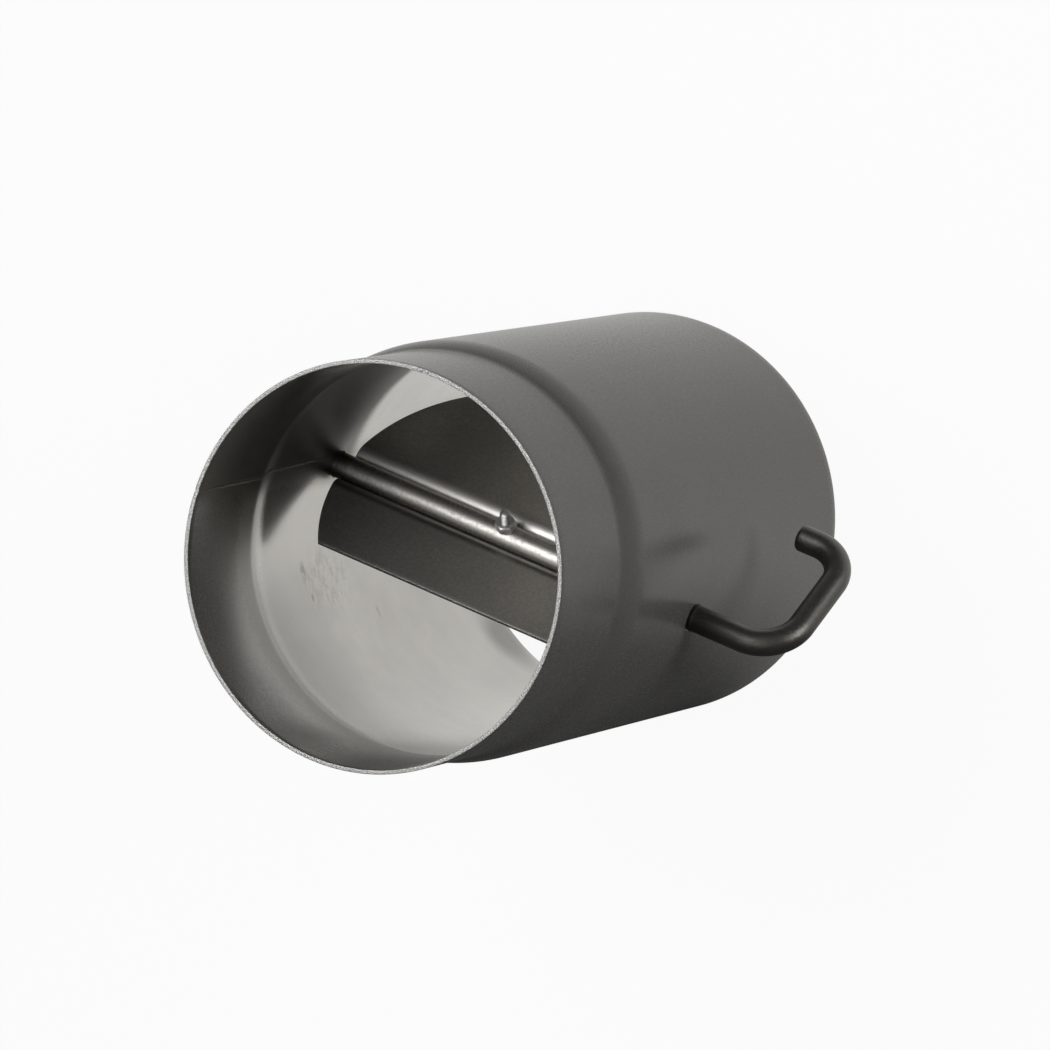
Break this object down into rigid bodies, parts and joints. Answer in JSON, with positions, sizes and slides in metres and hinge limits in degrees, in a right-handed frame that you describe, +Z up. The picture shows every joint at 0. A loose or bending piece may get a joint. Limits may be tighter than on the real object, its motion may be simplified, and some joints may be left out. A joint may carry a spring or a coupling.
{
  "type": "stove pipe damper",
  "caption": "Short swaged stove pipe with a turning damper plate on a bent rod handle that sets how much flue gas passes.",
  "frame": {"origin": "centre of the plain wide end, which the part stands on", "axes": "+Z up the pipe's axis to the narrow spigot, +X along the damper's shaft to the handle"},
  "size_m": [0.1993, 0.153, 0.25],
  "materials": {
    "pipe_paint": "matt grey-black stove paint outside, dull bare steel inside and at the rim",
    "bar_steel": "black on the handle outside the pipe, bright bare steel inside it",
    "plate_steel": "dark rolled steel with a soft sheen",
    "zinc": "bright zinc"
  },
  "bodies": {
    "pipe": {"flue_pipe": "pipe_paint"},
    "damper": {"handle_shaft": "bar_steel", "damper_plate": "plate_steel", "plate_bolt": "zinc", "plate_nut": "zinc"}
  },
  "joints": [
    {"name": "damper_turn", "type": "hinge", "parent": "pipe", "child": "damper", "pos_m": [0, 0, 0.128], "axis": [1, 0, 0], "continuous": true}
  ]
}
